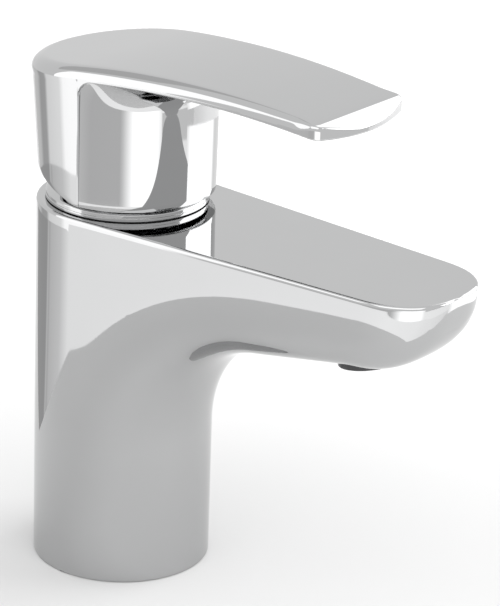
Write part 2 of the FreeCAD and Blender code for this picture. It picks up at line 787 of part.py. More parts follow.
def bevel():
    """Wedge off the hub's lower back edge, so that it clears the body when the lever is lifted."""
    bottom, start = value(HUB_BOTTOM), value("bevel_start")
    reach = 2 * value("hub_radius")
    rise = reach * math.tan(math.radians(value("bevel_angle")))
    return slab([(start, bottom), (start - reach, bottom + rise), (start - reach, bottom - MARGIN),
                 (start, bottom - MARGIN)], reach)


def make_lever():
    form = formed("lever_form", handle_blank().cut([under_space(), bevel()]))
    cavity = cylinder("hub_cavity", "hub_radius - hub_wall", "hub_cavity_top - body_height",
                      ("0", "0", "body_height"))
    boss = cylinder("spindle_boss", "boss_radius", "hub_cavity_top - boss_bottom", ("0", "0", "boss_bottom"))
    ring_cavity = cut("hub_ring_cavity", cavity, [boss])
    socket_width = "spindle_width + 2 * socket_gap"
    socket_height = "pivot_height + spindle_rise - boss_bottom + socket_gap"
    socket = box("spindle_socket", socket_width, socket_width, socket_height,
                 ("-(%s) / 2" % socket_width, "0", "boss_bottom"))
    backward = (Vector(0, -1, 0), "90")
    thread = cylinder("screw_hole", "screw_radius + screw_gap", "boss_radius", ("0", "0", "screw_height"),
                      backward)
    access = cylinder("plug_hole", "plug_radius + plug_gap", "2 * hub_radius",
                      ("-boss_radius", "0", "screw_height"), backward)
    cut("lever_handle", form, [ring_cavity, socket, thread, access])
    screw = cylinder("screw_bar", "screw_radius", "screw_length",
                     ("-spindle_width / 2", "0", "screw_height"), backward)
    key_socket = doc.addObject("Part::Prism", "key_socket")
    key_socket.Polygon = 6
    key_socket.setExpression("Circumradius", bound("key_socket_radius"))
    key_socket.setExpression("Height", bound("screw_length / 2"))
    place(key_socket, ("-spindle_width / 2 - screw_length / 2", "0", "screw_height"), backward)
    cut("set_screw", screw, [key_socket])
    wall = "hub_radius + (hub_flare + hub_lean) * (screw_height - %s) - plug_recess" % HUB_BOTTOM
    cylinder("screw_plug", "plug_radius", "plug_length", ("plug_length - (%s)" % wall, "0", "screw_height"),
             backward)


# Aerator in the spout's outlet

def drilled(label, radius, height, hole, rings, level):
    """Disc with rings of round holes, across the outlet's axis."""
    blank = cylinder(label + "_disc", radius, height)
    holes = []
    for ring, count in rings:
        for index in range(count):
            angle = 2 * math.pi * index / count
            position = ["(%s) * (%.6f)" % (ring, share) for share in (math.cos(angle), math.sin(angle))]
            holes.append(cylinder("%s_hole_%d" % (label, len(holes)), hole, height, position + ["0"]))
    return place(cut(label, blank, holes), aerator_shift(level), AERATOR_TURN)


def make_aerator():
    bore = "aerator_radius - aerator_wall"
    turned("aerator_housing", [
        (bore + "- aerator_lip_reach", "0"),
        ("aerator_radius", "0"),
        ("aerator_radius", "aerator_drop + aerator_height"),
        (bore, "aerator_drop + aerator_height"),
        (bore, "aerator_lip"),
        (bore + "- aerator_lip_reach", "aerator_lip"),
    ], position=aerator_shift("-aerator_drop"), turn=AERATOR_TURN)
    turned("aerator_seal", [
        ("aerator_radius - aerator_seal_width", "0"),
        ("aerator_radius", "0"),
        ("aerator_radius", "aerator_seal_height"),
        ("aerator_radius - aerator_seal_width", "aerator_seal_height"),
    ], position=aerator_shift("aerator_height"), turn=AERATOR_TURN)
    lip_top = "aerator_lip - aerator_drop"
    screen_rings = [("0", 1), ("screen_pitch", 6), ("2 * screen_pitch", 12), ("3 * screen_pitch", 18)]
    drilled("aerator_screen", bore + "- insert_gap", "screen_thickness", "screen_hole_radius", screen_rings,
            lip_top)
    insert_rings = [("insert_ring", 8)]
    drilled("aerator_insert", bore + "- insert_gap", "aerator_height - screen_thickness - (%s)" % lip_top,
            "insert_hole_radius", insert_rings, lip_top + "+ screen_thickness")
    drilled("flow_regulator", "aerator_radius - aerator_seal_width - insert_gap", "regulator_height",
            "insert_hole_radius", insert_rings, "aerator_height")


NODES = (
    "body_casting", "base_seal", "inlet_block", "cartridge_base", "port_seals", "disc_seals",
    "fixed_disc", "moving_disc", "disc_carrier", "cartridge_housing", "spindle_carrier", "pivot_pin",
    "spindle", "stop_ring", "slip_washer", "retaining_nut", "cover_seal", "cover_ring", "lever_handle",
    "set_screw", "screw_plug", "aerator_housing", "aerator_seal", "aerator_screen", "aerator_insert",
    "flow_regulator",
)

make_body()
make_inlet_block()
make_base()
make_discs()
make_carrier()
make_housing()
make_spindle_carrier()
make_spindle()
make_stop_ring()
make_nut()
make_cover()
make_lever()
make_aerator()
doc.recompute()

failed = [item.Label for item in doc.Objects if "Invalid" in item.State or "Error" in item.State]
if failed:
    raise RuntimeError("not built: " + ", ".join(failed))

pieces = {name: doc.getObjectsByLabel(name)[0] for name in NODES}
for name, piece in pieces.items():
    if piece.Shape.isNull() or not piece.Shape.isValid() or not piece.Shape.Solids:
        raise RuntimeError("no sound solid: " + name)

os.makedirs("parts", exist_ok=True)
for name, piece in pieces.items():
    piece.Shape.exportStep("parts/%s.step" % name)
    print(name, len(piece.Shape.Solids), round(piece.Shape.Volume, 1))
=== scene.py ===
import json
import math

import bmesh
import bpy
import numpy as np
from mathutils import Matrix, Vector


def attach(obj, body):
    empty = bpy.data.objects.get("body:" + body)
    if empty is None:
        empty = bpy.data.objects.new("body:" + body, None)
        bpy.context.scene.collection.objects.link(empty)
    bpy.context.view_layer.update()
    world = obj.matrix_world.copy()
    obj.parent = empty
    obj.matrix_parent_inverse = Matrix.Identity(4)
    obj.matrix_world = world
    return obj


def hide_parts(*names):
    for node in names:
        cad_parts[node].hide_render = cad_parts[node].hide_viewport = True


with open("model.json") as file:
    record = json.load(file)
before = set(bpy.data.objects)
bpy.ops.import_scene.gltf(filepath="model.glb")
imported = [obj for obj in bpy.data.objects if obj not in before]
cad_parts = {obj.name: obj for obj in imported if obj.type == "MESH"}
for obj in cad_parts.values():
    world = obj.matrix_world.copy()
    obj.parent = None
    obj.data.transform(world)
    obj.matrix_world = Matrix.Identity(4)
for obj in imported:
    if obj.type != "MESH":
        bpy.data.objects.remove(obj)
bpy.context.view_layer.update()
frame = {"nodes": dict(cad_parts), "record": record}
nodes = frame["nodes"]
mm = 0.001  # the pieces are worked out in millimetres
print("frame loaded:", len(nodes), "nodes")


# small helpers

meshing = {
    "mergeGap": 2e-7,         # metres
    "thinEdge": 1e-7,
    "sharpAngle": 38,         # degrees from which an edge stays sharp
    "cornerShare": 0.45,      # most of a leg that a rounded corner may take
    "cornerSteps": 4,
    "softShare": 0.3,         # middle point of a small rounded edge, as a share of its size
}


def addMesh(name, verts, faces, body, replaced):
    mesh = bpy.data.meshes.new(name)
    mesh.from_pydata([tuple(float(c) * mm for c in v) for v in verts], [], faces)
    bm = bmesh.new()
    bm.from_mesh(mesh)
    bmesh.ops.remove_doubles(bm, verts=bm.verts, dist=meshing["mergeGap"])
    bmesh.ops.dissolve_degenerate(bm, edges=bm.edges, dist=meshing["thinEdge"])
    bmesh.ops.recalc_face_normals(bm, faces=bm.faces)
    bm.to_mesh(mesh)
    bm.free()
    mesh.shade_smooth()
    mesh.set_sharp_from_angle(angle=math.radians(meshing["sharpAngle"]))
    piece = bpy.data.objects.new(name, mesh)
    bpy.context.scene.collection.objects.link(piece)
    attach(piece, body)
    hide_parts(replaced)
    return piece


def gridFaces(rows, cols, start=0, wrap=False):
    span = cols if wrap else cols - 1
    return [(start + r * cols + c, start + r * cols + (c + 1) % cols,
             start + (r + 1) * cols + (c + 1) % cols, start + (r + 1) * cols + c)
            for r in range(rows - 1) for c in range(span)]


def smoothStep(value):
    value = np.clip(value, 0, 1)
    return value * value * (3 - 2 * value)


def softMin(value, limit, width):
    gap = (limit - value) / width
    return limit - width * np.logaddexp(0, gap)


def tableValue(x, table):
    places, values = zip(*table)
    return np.interp(x, places, values)


def latheMesh(profile, turns):
    angles = np.linspace(0, 2 * math.pi, turns, endpoint=False)
    verts = [(r * math.cos(a), r * math.sin(a), z) for r, z in profile for a in angles]
    return verts, gridFaces(len(profile), turns, wrap=True)


def roundedProfile(points, radius):
    # rounds each corner of a closed (radius, height) outline
    result = []
    count = len(points)
    for i in range(count):
        before, here, after = (np.array(points[(i + k) % count], float) for k in (-1, 0, 1))
        legIn, legOut = before - here, after - here
        lengthIn, lengthOut = np.linalg.norm(legIn), np.linalg.norm(legOut)
        cut = min(radius, meshing["cornerShare"] * lengthIn, meshing["cornerShare"] * lengthOut)
        first = here + legIn / lengthIn * cut
        last = here + legOut / lengthOut * cut
        for t in np.linspace(0, 1, meshing["cornerSteps"] + 1):
            result.append(tuple((1 - t) ** 2 * first + 2 * t * (1 - t) * here + t * t * last))
    return result + result[:1]


# column and spout: one smooth skin

spout = {
    "columnRadius": 23.0,
    "height": 97.5,
    "reach": 103.0,
    "taper": 0.0605,          # half width lost for each millimetre of reach
    "tipStart": 86.0,
    "tipFullness": 2.5,
    "depthAtOutlet": 22.3,
    "outletReach": 77.5,
    "rise": 10.2,             # degrees that the underside climbs
    "elbowRadius": 34.0,
    "bowLength": 23.0,
    "bowSoft": 1.6,           # how gently the underside runs into the bow
    "bowEnd": 89.2,           # degrees round the bow where the last section stands
    "columnFullness": 2.0,    # 2 is a round section
    "hullFullness": 3.0,
    "wallShare": 0.1,         # upright part of the side, as a share of the depth
    "leastWall": 0.02,
    "leastDepth": 0.05,
    "tipDip": 0.6,            # most of the hull that the top edge takes at the tip
    "topRound": 0.9,
    "flatMargin": 0.12,       # keeps the flat top's shading clear of its rounded edge
    "footRound": 0.4,
    "footFlat": 0.6,          # where the foot's shading is flat
    "settleWidth": 3.6,       # how wide the sides even out where wall and hull meet
    "settleReach": 9.0,
    "easeTurn": 40.0,         # degrees of the elbow over which that sets in
    "restoreTurn": 40.0,      # and from where the full depth comes back
    "nutBore": 19.1,
    "nutFloor": 86.5,
    "chamber": 17.7,
    "chamberFloor": 54.0,
    "ledge": 15.5,
    "footBore": 18.5,
    "footCeiling": 50.0,
    "grooveOuter": 22.0,
    "grooveInner": 20.2,
    "grooveDepth": 1.6,
    "sectionPoints": 121,     # round a section, and then along each stretch of the skin
    "hullPoints": 400,
    "wallPoints": 80,
    "columnPoints": 16,
    "elbowPoints": 34,
    "runPoints": 22,
    "bowPoints": 64,
    "backPoints": 91,
    "topEdgePoints": 9,
}


def spoutHalfWidth(x):
    x = np.asarray(x, float)
    radius, taper = spout["columnRadius"], spout["taper"]
    turnX = radius * math.sin(math.atan(taper))
    line = math.sqrt(radius ** 2 - turnX ** 2) + taper * turnX - taper * x
    circle = np.sqrt(np.maximum(radius ** 2 - np.minimum(x, turnX) ** 2, 0))
    share = np.clip((x - spout["tipStart"]) / (spout["reach"] - spout["tipStart"]), 0, 1)
    tip = (1 - share ** spout["tipFullness"]) ** (1 / spout["tipFullness"])
    return np.where(x < turnX, circle, line) * tip


def spoutUnderside(x):
    climb = math.tan(math.radians(spout["rise"]))
    return spout["height"] - spout["depthAtOutlet"] + climb * (x - spout["outletReach"])


def spoutDepth(x):
    start = spout["reach"] - spout["bowLength"]
    share = np.clip((x - start) / spout["bowLength"], 0, 1)
    return (spout["height"] - spoutUnderside(softMin(x, start, spout["bowSoft"]))) * np.sqrt(1 - share ** 2)


def evened(line, spread, restore):
    # even curvature: a soft average, with a share of the average's own loss put back
    reach = int(3 * spread)
    weights = np.exp(-0.5 * (np.arange(-reach, reach + 1) / spread) ** 2)
    weights /= weights.sum()

    def average(values):
        before = values[0] + (values[0] - values[1:reach + 1][::-1])
        after = values[-1] + (values[-1] - values[-reach - 1:-1][::-1])
        return np.convolve(np.concatenate([before, values, after]), weights, "valid")

    once = average(line)
    return once + restore * (once - average(once))


def sectionLine(base, inward, deep, fullness, wallEnd, ease=1.0, restore=1.0):
    # from the far top edge down the wall, round the hull and up again
    half = float(spoutHalfWidth(base[0]))
    turn = np.linspace(0, math.pi, spout["hullPoints"])
    side, down = np.cos(turn), np.sin(turn)
    far = (np.abs(side / half) ** fullness + np.abs(down / deep) ** fullness) ** (-1 / fullness)
    wall = np.linspace(-wallEnd, 0, spout["wallPoints"])[:-1]
    wallHalf = spoutHalfWidth(base[0] + inward[0] * wall)  # so that the walls stand upright
    along = np.concatenate([wall, down * far, wall[::-1]])
    across = np.concatenate([wallHalf, side * far, -wallHalf[::-1]])
    steps = np.concatenate([[0], np.cumsum(np.hypot(np.diff(along), np.diff(across)))])
    wanted = np.linspace(0, steps[-1], spout["sectionPoints"])
    along = np.interp(wanted, steps, along)
    across = np.interp(wanted, steps, across)
    if wallEnd > 0:
        settle = ease * smoothStep(np.minimum(wanted, wanted[-1] - wanted) / spout["settleReach"])
        spread = spout["settleWidth"] / wanted[1]
        along = along + (evened(along, spread, restore) - along) * settle
        across = across + (evened(across, spread, restore) - across) * settle
    return [(base[0] + inward[0] * a, c, base[1] + inward[1] * a) for a, c in zip(along, across)]


def columnSections(pivotZ):
    radius, fullness = spout["columnRadius"], spout["columnFullness"]
    levels = list(np.linspace(spout["footRound"], pivotZ, spout["columnPoints"])[:-1])
    return [sectionLine((0, z), (1, 0), radius, fullness, 0) for z in levels], levels


def elbowSections(pivotX, pivotZ):
    # a fan about the elbow's middle, from level to upright
    top = spout["height"] - spout["topRound"]
    wall = spout["wallShare"] * spoutDepth(pivotX)
    outerEnd = spout["height"] - pivotZ - wall
    cornerTurn = math.degrees(math.atan2(top - pivotZ, pivotX))
    lowTurns = np.linspace(0, cornerTurn, spout["elbowPoints"])
    highTurns = np.linspace(cornerTurn, 90, spout["elbowPoints"])[1:]
    sections, levels = [], []
    for turn in np.concatenate([lowTurns, highTurns]):
        angle = math.radians(turn)
        blend = math.sin(angle) ** 2
        past = max(turn - 90 + spout["rise"], 0)
        inner = spout["elbowRadius"] / math.cos(math.radians(past))
        outer = pivotX + (outerEnd - pivotX) * blend
        outward = (-math.cos(angle), math.sin(angle))
        base = (pivotX + outward[0] * outer, pivotZ + outward[1] * outer)
        if turn <= cornerTurn:
            far = pivotX / math.cos(angle)
            levels.append(pivotZ + pivotX * math.tan(angle))
        else:
            far = (top - pivotZ) / math.sin(angle)
        fullness = spout["columnFullness"] + (spout["hullFullness"] - spout["columnFullness"]) * blend
        ease = float(smoothStep(turn / spout["easeTurn"]))
        restore = float(smoothStep((turn - spout["restoreTurn"]) / (90 - spout["restoreTurn"])))
        inward = (-outward[0], -outward[1])
        sections.append(sectionLine(base, inward, outer - inner, fullness, far - outer, ease, restore))
    return sections, levels


def frontSections(pivotX):
    # upright sections along the spout and closer together round the bow
    start = spout["reach"] - spout["bowLength"]
    bowTurns = np.radians(np.linspace(0, spout["bowEnd"], spout["bowPoints"])[1:])
    places = np.concatenate([np.linspace(pivotX, start, spout["runPoints"])[1:],
                             start + spout["bowLength"] * np.sin(bowTurns)])
    sections = []
    for x in places:
        deep = float(spoutDepth(x))
        edge = max(spout["wallShare"] * deep, spout["leastWall"])
        wallEnd = max(edge - spout["topRound"], -spout["tipDip"] * (deep - edge))
        base = (x, spout["height"] - edge)
        hull = max(deep - edge, spout["leastDepth"])
        sections.append(sectionLine(base, (0, -1), hull, spout["hullFullness"], wallEnd))
    return sections


def topLoops(outline):
    # from the side walls over the rounded edge and the flat top, then down the bore
    height = spout["height"]
    plan = outline[:, :2]
    tangent = np.roll(plan, -1, 0) - np.roll(plan, 1, 0)
    tangent /= np.linalg.norm(tangent, axis=1)[:, None]
    normal = np.stack([tangent[:, 1], -tangent[:, 0]], 1)
    loops = []
    for t in np.radians(np.linspace(0, 90, spout["topEdgePoints"])):
        level = height - (height - outline[:, 2]) * (1 - math.sin(t))
        loops.append(np.column_stack([plan - normal * (spout["topRound"] * (1 - math.cos(t))), level]))
    flat = plan - normal * (spout["topRound"] + spout["flatMargin"])
    loops.append(np.column_stack([flat, np.full(len(plan), height)]))
    polar = np.arctan2(flat[:, 1], flat[:, 0])
    ring = np.stack([np.cos(polar), np.sin(polar)], 1)
    bore = [(spout["nutBore"], height), (spout["nutBore"], spout["nutFloor"]),
            (spout["chamber"], spout["nutFloor"]), (spout["chamber"], spout["chamberFloor"]),
            (spout["ledge"], spout["chamberFloor"]), (spout["ledge"], spout["footCeiling"])]
    for radius, z in bore:
        loops.append(np.column_stack([ring * radius, np.full(len(plan), z)]))
    return loops


def footProfile():
    # rounded edge, flat ring with its groove, and the hollow
    radius, edge = spout["columnRadius"], spout["footRound"]
    soft = meshing["softShare"] * edge
    return [(radius, edge), (radius - soft, soft), (radius - edge, 0), (radius - spout["footFlat"], 0),
            (spout["grooveOuter"], 0), (spout["grooveOuter"], spout["grooveDepth"]),
            (spout["grooveInner"], spout["grooveDepth"]), (spout["grooveInner"], 0),
            (spout["footBore"], 0), (spout["footBore"], spout["footCeiling"]),
            (spout["ledge"], spout["footCeiling"])]


def buildSpout():
    radius = spout["columnRadius"]
    pivotX = radius + spout["elbowRadius"]
    pivotZ = spoutUnderside(pivotX) - spout["elbowRadius"] / math.cos(math.radians(spout["rise"]))
    column, columnLevels = columnSections(pivotZ)
    elbow, elbowLevels = elbowSections(pivotX, pivotZ)
    sections = column + elbow + frontSections(pivotX)
    levels = columnLevels + elbowLevels
    cols = spout["sectionPoints"]
    verts = [p for section in sections for p in section]
    faces = gridFaces(len(sections), cols)
    tip = (spout["reach"], 0, sections[-1][0][2])
    tipIndex = len(verts)
    verts.append(tip)
    last = (len(sections) - 1) * cols
    faces += [(last + c, last + c + 1, tipIndex) for c in range(cols - 1)]
    # back half of the column, on the levels of the front sections
    backTurns = np.linspace(math.pi / 2, 1.5 * math.pi, spout["backPoints"])
    start = len(verts)
    for z in levels:
        verts += [(radius * math.cos(a), radius * math.sin(a), z) for a in backTurns]
    faces += gridFaces(len(levels), len(backTurns), start)
    # closed top outline, from the near corner forward, round the tip and round the back
    withTop = sections[len(levels) - 1:]
    outline = [section[-1] for section in withTop] + [tip] + [section[0] for section in withTop[::-1]]
    top = spout["height"] - spout["topRound"]
    outline += [(radius * math.cos(a), radius * math.sin(a), top) for a in backTurns[1:-1]]
    loops = topLoops(np.array(outline))
    start = len(verts)
    for loop in loops:
        verts += [tuple(p) for p in loop]
    faces += gridFaces(len(loops), len(outline), start, wrap=True)
    footTurns = [math.atan2(p[1], p[0]) for p in sections[0]] + list(-backTurns[::-1][1:-1])
    profile = footProfile()
    start = len(verts)
    for r, z in profile:
        verts += [(r * math.cos(a), r * math.sin(a), z) for a in footTurns]
    faces += gridFaces(len(profile), len(footTurns), start, wrap=True)
    return addMesh("spoutSkin", verts, faces, "faucet", "body_casting")


spoutSkin = buildSpout()
print("column and spout:", len(spoutSkin.data.vertices), "points")


# lever: flat plate with a skirt behind, and the round neck in front

lever = {
    "bottom": 100.6,
    "bevelStart": 1.0,        # from here back the lower edge climbs
    "bevelSlope": math.tan(math.radians(17.2)),
    "skirtRadius": 22.4,
    "skirtFlare": 0.033,
    "skirtLean": 0.04,
    "skirtFront": 3.0,        # where the skirt's front edge stands
    "skirtStep": 0.0002,      # share of the side in which the skirt ends
    "frontGap": 0.001,        # keeps the front edge itself out of the skirt
    "skirtCorner": 4.0,
    "skirtWall": 1.2,
    "archTop": 138.6,
    "archForward": 35.0,
    "archRadius": 281.0,
    "thickness": 3.6,
    "leastWall": 0.5,
    "cornerX": 71.3,
    "cornerHalf": 17.3,
    "cornerRound": 3.2,
    "tipX": 75.1,
    "facetStart": 71.3,
    "facetSlope": 0.62,
    "facetSoft": 0.4,
    "rimLevel": 134,          # height at which the plate's outline is taken
    "edgeWidth": ((20, 3.7), (40, 3.1), (60, 2.6), (66, 2.2), (70, 1.1), (72, 0.6), (76, 0.5)),  # by x
    "edgeDrop": ((50, 3.0), (66, 2.7), (71, 1.05), (76, 0.6)),
    "lowEdge": 0.35,
    "lowSoft": 0.1,
    "seamLap": 0.01,
    "backPoints": 70,         # along each stretch of the outline, down the side and across
    "skirtEndPoints": 4,
    "skirtCornerPoints": 24,
    "sidePoints": 60,
    "cornerPoints": 14,
    "tipPoints": 40,
    "edgePoints": 15,
    "wallPoints": 26,
    "acrossPoints": 25,
}


def archHeight(x):
    radius, forward = lever["archRadius"], lever["archForward"]
    bend = np.maximum(x, 0) - forward
    slope = forward / math.sqrt(radius ** 2 - forward ** 2)
    return lever["archTop"] - radius + np.sqrt(radius ** 2 - bend ** 2) + slope * np.minimum(x, 0)


def leverTop(x):
    facet = archHeight(lever["facetStart"]) - lever["facetSlope"] * (x - lever["facetStart"])
    return softMin(facet, archHeight(x), lever["facetSoft"])


def lowerEdge(x):
    return lever["bottom"] + np.maximum(lever["bevelStart"] - x, 0) * lever["bevelSlope"]


def halfOutline(level):
    # from the middle of the back to the middle of the tip, on the +Y side
    rise = level - lever["bottom"]
    radius = lever["skirtRadius"] + lever["skirtFlare"] * rise
    centre = -lever["skirtLean"] * rise
    ahead, half = lever["cornerX"] - centre, lever["cornerHalf"]
    touch = math.atan2(half, ahead) + math.acos(radius / math.hypot(ahead, half))
    back = [(centre + radius * math.cos(a), radius * math.sin(a))
            for a in np.linspace(math.pi, touch, lever["backPoints"])]
    # side, rounded corner and curved tip
    corner = np.array((lever["cornerX"], half))
    start = np.array(back[-1])
    sag = lever["tipX"] - lever["cornerX"]
    arc = (half ** 2 + sag ** 2) / (2 * sag)
    arcAngle = math.asin(half / arc)
    along = (start - corner) / np.linalg.norm(start - corner)
    arcStart = np.array((math.sin(arcAngle), -math.cos(arcAngle)))
    cut = lever["cornerRound"] / math.tan(math.acos(float(np.dot(along, arcStart))) / 2)
    cornerIn, cornerOut = corner + along * cut, corner + arcStart * cut
    length = cornerIn[0] - start[0]
    skirtShare = (lever["skirtFront"] - start[0]) / length
    cornerShare = skirtShare + lever["skirtCorner"] / length
    shares = np.concatenate([np.linspace(0, skirtShare - lever["skirtStep"], lever["skirtEndPoints"])[1:],
                             np.linspace(skirtShare, cornerShare, lever["skirtCornerPoints"]),
                             np.linspace(cornerShare, 1, lever["sidePoints"])[1:]])
    side = [tuple(start + (cornerIn - start) * share) for share in shares]
    rounded = [tuple((1 - t) ** 2 * cornerIn + 2 * t * (1 - t) * corner + t * t * cornerOut)
               for t in np.linspace(0, 1, lever["cornerPoints"])[1:]]
    tipTurns = np.linspace(math.asin(cornerOut[1] / arc), 0, lever["tipPoints"])[1:]
    tip = [(lever["tipX"] - arc + arc * math.cos(a), arc * math.sin(a)) for a in tipTurns]
    return np.array(back + side + rounded + tip)


outlines = {}


def levelPoint(index, level):
    # a point of the outline at any height, from outlines a millimetre apart
    low = math.floor(level)
    for key in (low, low + 1):
        if key not in outlines:
            outlines[key] = halfOutline(key)
    share = level - low
    return outlines[low][index] * (1 - share) + outlines[low + 1][index] * share


def outlineNormals(plan):
    tangent = np.gradient(plan, axis=0)
    tangent /= np.linalg.norm(tangent, axis=1)[:, None]
    normal = np.stack([-tangent[:, 1], tangent[:, 0]], 1)
    normal[0], normal[-1] = (-1, 0), (1, 0)
    return normal


def leverLoops():
    # loops on the +Y side, from the top's edge down the wall, in, and back up under the plate
    rim = halfOutline(lever["rimLevel"])
    rimX = rim[:, 0]
    normal = outlineNormals(rim)
    width, fall = tableValue(rimX, lever["edgeWidth"]), tableValue(rimX, lever["edgeDrop"])
    under = np.minimum(archHeight(rimX) - lever["thickness"], leverTop(rimX) - fall - lever["leastWall"])
    toFront = np.clip((lever["skirtFront"] + lever["skirtCorner"] - rimX) / lever["skirtCorner"], 0, 1)
    corner = under - lever["skirtCorner"] * (1 - np.sqrt(1 - toFront ** 2))
    onSkirt = rimX < lever["skirtFront"] - lever["frontGap"]
    wallEnd = np.where(onSkirt, lowerEdge(rimX), corner)
    loops = []
    for t in np.radians(np.linspace(0, 90, lever["edgePoints"])):
        plan = rim - normal * (width * (1 - math.sin(t)))[:, None]
        loops.append(np.column_stack([plan, leverTop(plan[:, 0]) - fall * (1 - math.cos(t))]))
    rimZ = loops[-1][:, 2]
    for share in np.linspace(0, 1, lever["wallPoints"] + 1)[1:]:
        level = rimZ + (wallEnd + lever["lowEdge"] - rimZ) * share
        plan = np.array([levelPoint(i, z) for i, z in enumerate(level)])
        loops.append(np.column_stack([plan, level]))
    low = loops[-1][:, :2]
    soft = lever["lowSoft"]
    for inset, lift in ((soft, soft), (lever["lowEdge"], 0), (lever["skirtWall"], 0)):
        loops.append(np.column_stack([low - normal * inset, wallEnd + lift]))
    loops.append(np.column_stack([low - normal * lever["skirtWall"], under + lever["seamLap"]]))
    return loops


def buildLever():
    loops = leverLoops()
    count = len(loops[0])
    verts, faces = [], []
    for side in (1, -1):
        start = len(verts)
        for loop in loops:
            verts += [(x, y * side, z) for x, y, z in loop]
        faces += gridFaces(len(loops), count, start)
    # top and underside: rows from side to side
    shares = np.linspace(1, -1, lever["acrossPoints"])
    for edgeLoop in (loops[0], loops[-1]):
        start = len(verts)
        for x, y, z in edgeLoop:
            verts += [(x, y * share, z) for share in shares]
        faces += gridFaces(count, len(shares), start)
    return addMesh("leverPlate", verts, faces, "lever", "lever_handle")


neck = {
    "radius": 22.3,
    "flare": 0.010,
    "flareRise": 26,
    "blend": 8.0,             # size of the hollow between neck and plate
    "leastBlend": 0.02,
    "edgeRoom": 1.2,          # how far that stays inside the plate's edge
    "plateLevel": 133,
    "lap": 0.03,
    "backFrom": 84,           # degrees from the front where the neck goes behind the skirt
    "backOver": 14,
    "backInset": 1.5,
    "bevelRadius": 22,
    "bevelLift": 0.8,
    "edge": 0.3,
    "bore": 20.4,
    "boreInset": 0.5,
    "ceiling": 127.0,
    "bossRadius": 8.5,
    "bossBore": 5.0,
    "bossBottom": 111.0,
    "turns": 240,
    "blendRows": 16,
    "wallRows": 20,
}


def buildNeck():
    turns = np.linspace(-math.pi, math.pi, neck["turns"], endpoint=False)
    plan = halfOutline(neck["plateLevel"])
    polar, reach = np.arctan2(plan[:, 1], plan[:, 0]), np.hypot(plan[:, 0], plan[:, 1])
    order = np.argsort(polar)
    room = np.interp(np.abs(turns), polar[order], reach[order])
    backward = smoothStep((np.abs(turns) - math.radians(neck["backFrom"])) / math.radians(neck["backOver"]))
    room = np.clip(room - neck["radius"] - neck["edgeRoom"], neck["leastBlend"], neck["blend"])
    blend = room * (1 - backward)
    edgeX = neck["bevelRadius"] * np.cos(turns)
    lowest = lowerEdge(edgeX) + np.where(edgeX < lever["bevelStart"], neck["bevelLift"], 0)
    base = neck["radius"] - neck["backInset"] * backward
    loops = []
    for t in np.radians(np.linspace(90, 0, neck["blendRows"])):
        radius = base + neck["flare"] * neck["flareRise"] + blend * (1 - math.cos(t))
        under = archHeight(radius * np.cos(turns)) - lever["thickness"] + neck["lap"]
        loops.append((radius, under - neck["blend"] * (1 - math.sin(t))))
    topZ = loops[-1][1]
    for share in np.linspace(0, 1, neck["wallRows"])[1:]:
        z = topZ + (lowest + neck["edge"] - topZ) * share
        loops.append((base + neck["flare"] * (z - lever["bottom"]), z))
    # rounded lower edge, then the hollow and the boss for the spindle
    foot = loops[-1][0]
    even = np.ones(len(turns))
    soft = meshing["softShare"] * neck["edge"]
    bore = neck["bore"] - neck["boreInset"] * backward
    loops += [(foot - soft, lowest + soft), (foot - neck["edge"], lowest),
              (bore, lowest), (bore, neck["ceiling"] * even),
              (neck["bossRadius"] * even, neck["ceiling"] * even),
              (neck["bossRadius"] * even, neck["bossBottom"] * even),
              (neck["bossBore"] * even, neck["bossBottom"] * even)]
    verts = []
    for radius, z in loops:
        verts += [(r * math.cos(a), r * math.sin(a), h) for r, a, h in zip(radius, turns, z)]
    faces = gridFaces(len(loops), len(turns), wrap=True)
    return addMesh("leverNeck", verts, faces, "lever", "lever_handle")


leverPlate = buildLever()
leverNeck = buildNeck()
print("lever:", len(leverPlate.data.vertices) + len(leverNeck.data.vertices), "points")


# plug behind the hub, cover ring on the body, and the outlet ring

plugCap = {
    "radius": 2.95,
    "height": 117.0,
    "depth": 1.6,
    "proud": 0.12,
    "dome": 0.35,
    "edge": 0.3,
    "core": 0.01,             # open middle of the turned shape, closed by a face
    "coreShare": 0.004,       # the same on the dome
    "turns": 64,
    "edgeRows": 6,
    "domeRows": 12,
}


def buildPlug():
    cap = plugCap
    rise = cap["height"] - lever["bottom"]
    surface = lever["skirtRadius"] + (lever["skirtFlare"] + lever["skirtLean"]) * rise
    profile = [(cap["core"], -cap["depth"]), (cap["radius"], -cap["depth"]),
               (cap["radius"], cap["proud"] - cap["edge"])]
    for t in np.radians(np.linspace(0, 90, cap["edgeRows"])[1:]):
        profile.append((cap["radius"] - cap["edge"] * (1 - math.cos(t)),
                        cap["proud"] - cap["edge"] * (1 - math.sin(t))))
    inner = cap["radius"] - cap["edge"]
    for share in np.linspace(1, cap["coreShare"], cap["domeRows"])[1:]:
        profile.append((inner * share, cap["proud"] + cap["dome"] * (1 - share ** 2)))
    verts, faces = latheMesh(profile, cap["turns"])
    last = (len(profile) - 1) * cap["turns"]
    faces += [tuple(range(cap["turns"]))[::-1], tuple(range(last, last + cap["turns"]))]
    verts = [(-surface - h, y, cap["height"] + x) for x, y, h in verts]
    return addMesh("plugCap", verts, faces, "lever", "screw_plug")


coverRing = {
    "radius": 20.8,
    "wall": 1.3,
    "foot": 98.1,
    "lip": 97.75,
    "lipWall": 0.25,
    "rim": 0.75,
    "step": 0.2,
    "wallTop": 99.3,
    "capWall": 0.6,
    "opening": 14.4,
    "top": 103.4,
    "round": 0.14,
    "turns": 192,
}


